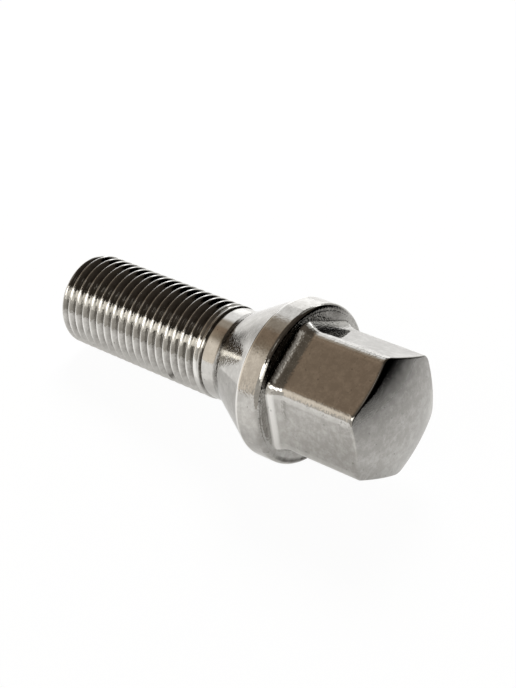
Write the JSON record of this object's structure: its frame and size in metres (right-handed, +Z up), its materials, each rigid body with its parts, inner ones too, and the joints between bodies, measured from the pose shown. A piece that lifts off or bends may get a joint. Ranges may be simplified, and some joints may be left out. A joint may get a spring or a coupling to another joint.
{
  "type": "wheel bolt",
  "caption": "Plated steel wheel bolt with a threaded shank, plain neck, cone seat, round collar and domed hexagon head; it clamps a road wheel to its hub.",
  "frame": {"origin": "middle of the bolt's bounding box, on the ground that it lies on", "axes": "+X along the bolt, from its tip towards its head; +Z up, with the bolt lying on its side and its head raised"},
  "size_m": [0.0594, 0.0232, 0.0235],
  "materials": {
    "plated_steel": "bright plated, faintly mottled"
  },
  "bodies": {
    "root": {"wheel_bolt": "plated_steel"}
  },
  "joints": []
}
